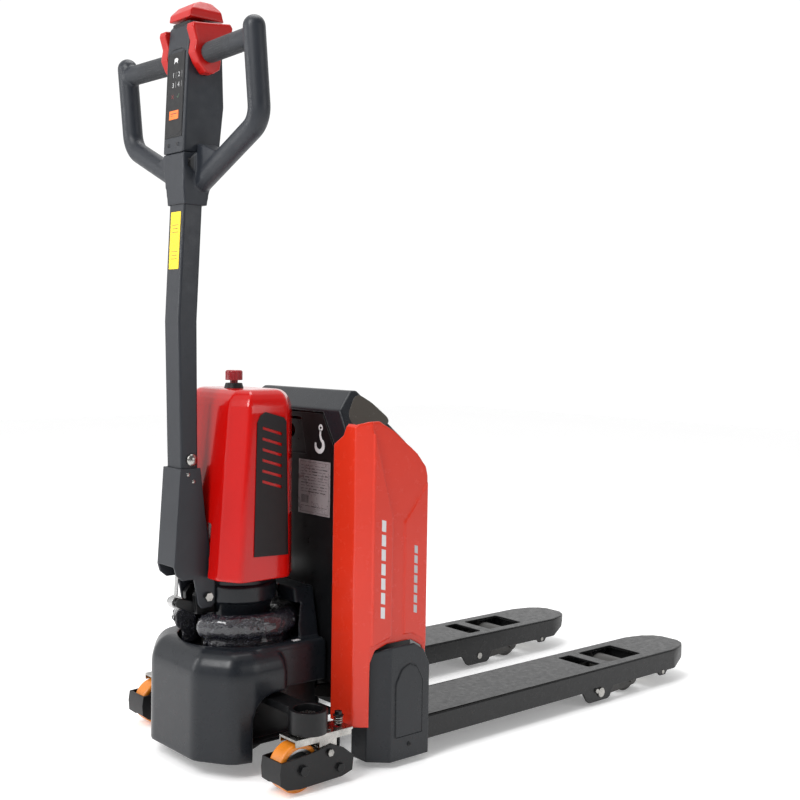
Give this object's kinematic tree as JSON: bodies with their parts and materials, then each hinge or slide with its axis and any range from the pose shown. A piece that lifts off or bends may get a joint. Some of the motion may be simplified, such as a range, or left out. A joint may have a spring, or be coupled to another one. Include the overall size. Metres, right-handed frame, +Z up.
{
  "type": "pallet jack",
  "caption": "Walk-behind electric pallet jack: tiller-steered drive unit with red cover, lift carriage, long forks, sprung casters and load rollers.",
  "frame": {"origin": "on the floor under the middle of the overall box, on the plane of symmetry", "axes": "+X towards the fork tips, +Y to the operator's left when facing the forks, +Z up"},
  "size_m": [1.4, 0.575, 1.504],
  "materials": {
    "red_paint": "gloss",
    "red_plastic": "gloss",
    "grey_plastic": "satin",
    "black_paint": "satin",
    "black_plastic": "satin",
    "zinc": "satin",
    "steel": "satin",
    "cast_iron": "rough",
    "polyurethane": "satin",
    "roller_polyurethane": "satin",
    "drive_rubber": "matt",
    "nylon": "matt",
    "cable_bundle": "gloss",
    "label": "satin",
    "aluminium": "satin"
  },
  "bodies": {
    "chassis": {"chassis": "black_paint", "skirt": "grey_plastic", "slew_bearing": "steel", "hydraulic_unit": "steel", "lift_cylinder": "steel"},
    "carriage": {"lift_frame": "black_paint", "slide_blocks": "nylon", "side_panel_left": "red_plastic", "side_panel_right": "red_plastic", "corner_cover_left": "grey_plastic", "corner_cover_right": "grey_plastic", "front_cover": "black_paint", "data_plate": "label", "battery": "black_plastic", "controller": "black_plastic", "lift_ram": "steel", "fork_left": "black_paint", "fork_right": "black_paint", "fork_pins": "zinc"},
    "lid": {"lid": "grey_plastic"},
    "rocker": {"rocker": "steel"},
    "push_rods": {"push_rods": "steel"},
    "steer": {"gearbox": "cast_iron", "drive_motor": "cast_iron", "steer_collar": "grey_plastic", "motor_cover": "red_plastic", "cover_trim": "black_plastic", "tiller_base": "black_paint", "harness": "cable_bundle"},
    "drive_wheel": {"drive_tyre": "drive_rubber", "drive_hub": "cast_iron"},
    "estop": {"estop_button": "red_plastic"},
    "tiller": {"tiller_shroud": "black_paint", "tiller_arm": "black_paint", "tiller_bolts": "zinc", "neck": "grey_plastic", "head": "grey_plastic", "keypad": "black_plastic", "handle_left": "grey_plastic", "handle_right": "grey_plastic"},
    "gas_barrel": {"gas_spring_barrel": "steel"},
    "gas_rod": {"gas_spring_rod": "steel"},
    "throttle": {"throttle": "red_plastic"},
    "belly_button": {"belly_button": "red_plastic"},
    "roller_arm_left": {"roller_arm_left": "steel"},
    "load_roller_left": {"load_roller_left": "roller_polyurethane"},
    "entry_roller_left": {"entry_roller_left": "nylon"},
    "caster_swivel_left": {"caster_swivel_left": "zinc", "caster_spring_left": "zinc"},
    "caster_rocker_left": {"caster_rocker_left": "black_paint"},
    "caster_wheel_left": {"caster_tyre_left": "polyurethane", "caster_hub_left": "aluminium"},
    "roller_arm_right": {"roller_arm_right": "steel"},
    "load_roller_right": {"load_roller_right": "roller_polyurethane"},
    "entry_roller_right": {"entry_roller_right": "nylon"},
    "caster_swivel_right": {"caster_swivel_right": "zinc", "caster_spring_right": "zinc"},
    "caster_rocker_right": {"caster_rocker_right": "black_paint"},
    "caster_wheel_right": {"caster_tyre_right": "polyurethane", "caster_hub_right": "aluminium"}
  },
  "joints": [
    {"name": "lift", "type": "slide", "parent": "chassis", "child": "carriage", "axis": [0, 0, 1], "range_m": [0, 0.115]},
    {"name": "lid_hinge", "type": "hinge", "parent": "carriage", "child": "lid", "pos_m": [-0.258, 0, 0.606], "axis": [0, 1, 0], "range_deg": [0, 75]},
    {"name": "rocker_turn", "type": "hinge", "parent": "carriage", "child": "rocker", "pos_m": [-0.295, 0, 0.1], "axis": [0, -1, 0], "range_deg": [0, 52]},
    {"name": "push_rod_slide", "type": "slide", "parent": "carriage", "child": "push_rods", "axis": [1, 0, 0], "range_m": [0, 0.034]},
    {"name": "roller_arm_left_swing", "type": "hinge", "parent": "carriage", "child": "roller_arm_left", "pos_m": [0.32, 0.195, 0.029], "axis": [0, 1, 0], "range_deg": [0, 56]},
    {"name": "load_roller_left_spin", "type": "hinge", "parent": "roller_arm_left", "child": "load_roller_left", "pos_m": [0.458, 0.195, 0.037], "axis": [0, 1, 0], "continuous": true},
    {"name": "entry_roller_left_spin", "type": "hinge", "parent": "carriage", "child": "entry_roller_left", "pos_m": [0.565, 0.195, 0.035], "axis": [0, 1, 0], "continuous": true},
    {"name": "caster_left_swivel", "type": "hinge", "parent": "chassis", "child": "caster_swivel_left", "pos_m": [-0.536, 0.25, 0.12], "axis": [0, 0, 1], "continuous": true},
    {"name": "caster_left_rock", "type": "hinge", "parent": "caster_swivel_left", "child": "caster_rocker_left", "pos_m": [-0.507, 0.25, 0.068], "axis": [0, 1, 0], "range_deg": [0, 4], "stiffness_Nm_per_rad": 120, "springref_deg": -9.17, "deforming": ["caster_spring_left"]},
    {"name": "caster_left_spin", "type": "hinge", "parent": "caster_rocker_left", "child": "caster_wheel_left", "pos_m": [-0.57, 0.25, 0.047], "axis": [0, 1, 0], "continuous": true},
    {"name": "roller_arm_right_swing", "type": "hinge", "parent": "carriage", "child": "roller_arm_right", "pos_m": [0.32, -0.195, 0.029], "axis": [0, 1, 0], "range_deg": [0, 56]},
    {"name": "load_roller_right_spin", "type": "hinge", "parent": "roller_arm_right", "child": "load_roller_right", "pos_m": [0.458, -0.195, 0.037], "axis": [0, 1, 0], "continuous": true},
    {"name": "entry_roller_right_spin", "type": "hinge", "parent": "carriage", "child": "entry_roller_right", "pos_m": [0.565, -0.195, 0.035], "axis": [0, 1, 0], "continuous": true},
    {"name": "caster_right_swivel", "type": "hinge", "parent": "chassis", "child": "caster_swivel_right", "pos_m": [-0.536, -0.25, 0.12], "axis": [0, 0, 1], "continuous": true},
    {"name": "caster_right_rock", "type": "hinge", "parent": "caster_swivel_right", "child": "caster_rocker_right", "pos_m": [-0.507, -0.25, 0.068], "axis": [0, 1, 0], "range_deg": [0, 4], "stiffness_Nm_per_rad": 120, "springref_deg": -9.17, "deforming": ["caster_spring_right"]},
    {"name": "caster_right_spin", "type": "hinge", "parent": "caster_rocker_right", "child": "caster_wheel_right", "pos_m": [-0.57, -0.25, 0.047], "axis": [0, 1, 0], "continuous": true},
    {"name": "steering", "type": "hinge", "parent": "chassis", "child": "steer", "pos_m": [-0.532, 0, 0.23], "axis": [0, 0, 1], "range_deg": [-90, 90]},
    {"name": "drive_spin", "type": "hinge", "parent": "steer", "child": "drive_wheel", "pos_m": [-0.532, 0, 0.105], "axis": [0, 1, 0], "continuous": true},
    {"name": "estop_press", "type": "slide", "parent": "steer", "child": "estop", "axis": [0, 0, -1], "range_m": [0, 0.005]},
    {"name": "tiller_tilt", "type": "hinge", "parent": "steer", "child": "tiller", "pos_m": [-0.623, 0, 0.335], "axis": [0, -1, 0], "range_deg": [0, 75], "stiffness_Nm_per_rad": 40, "springref_deg": -45.84},
    {"name": "gas_spring_swing", "type": "hinge", "parent": "tiller", "child": "gas_barrel", "pos_m": [-0.66, 0, 0.608], "axis": [0, -1, 0], "range_deg": [-2, 8]},
    {"name": "gas_spring_stroke", "type": "slide", "parent": "gas_barrel", "child": "gas_rod", "axis": [0.06, 0, 0.9982], "range_m": [0, 0.064]},
    {"name": "throttle_turn", "type": "hinge", "parent": "tiller", "child": "throttle", "pos_m": [-0.652, 0, 1.394], "axis": [0, 1, 0], "range_deg": [-25, 25], "stiffness_Nm_per_rad": 0.4},
    {"name": "belly_press", "type": "slide", "parent": "tiller", "child": "belly_button", "axis": [0, 0, -1], "range_m": [0, 0.005], "stiffness_N_per_m": 1500, "springref_m": -0.004}
  ],
  "couplings": [
    {"joint": "rocker_turn", "follows": "lift", "rad_per_m": 7.5125},
    {"joint": "push_rod_slide", "follows": "lift", "ratio": 0.27652},
    {"joint": "roller_arm_left_swing", "follows": "lift", "rad_per_m": 8.1955},
    {"joint": "roller_arm_right_swing", "follows": "lift", "rad_per_m": 8.1955},
    {"joint": "gas_spring_swing", "follows": "tiller_tilt", "ratio": 0.0915},
    {"joint": "gas_spring_stroke", "follows": "tiller_tilt", "m_per_rad": 0.04559}
  ]
}
